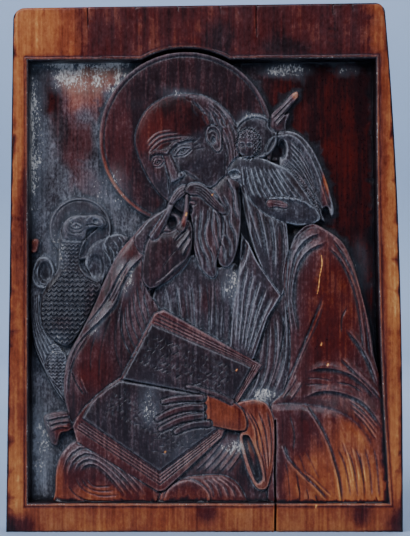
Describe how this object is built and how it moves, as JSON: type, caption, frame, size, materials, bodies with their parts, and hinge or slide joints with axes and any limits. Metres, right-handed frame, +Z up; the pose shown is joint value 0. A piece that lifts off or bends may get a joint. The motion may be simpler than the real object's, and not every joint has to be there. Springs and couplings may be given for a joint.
{
  "type": "carved wooden icon",
  "caption": "Upright wooden icon board with a sunk field carved in relief: a haloed elder with an open book, a small angel and an eagle.",
  "frame": {"origin": "middle of the foot's flat underside, below the middle of the board", "axes": "+Z up along the board's height, +X to the right as seen from the front, +Y from the carved front to the plain back"},
  "size_m": [0.3, 0.038, 0.4],
  "materials": {
    "stained_wood": "old dark red-brown stain and varnish over softwood, worn orange on the borders, dusty in the hollows"
  },
  "bodies": {
    "root": {"carved_board": "stained_wood"}
  },
  "joints": []
}
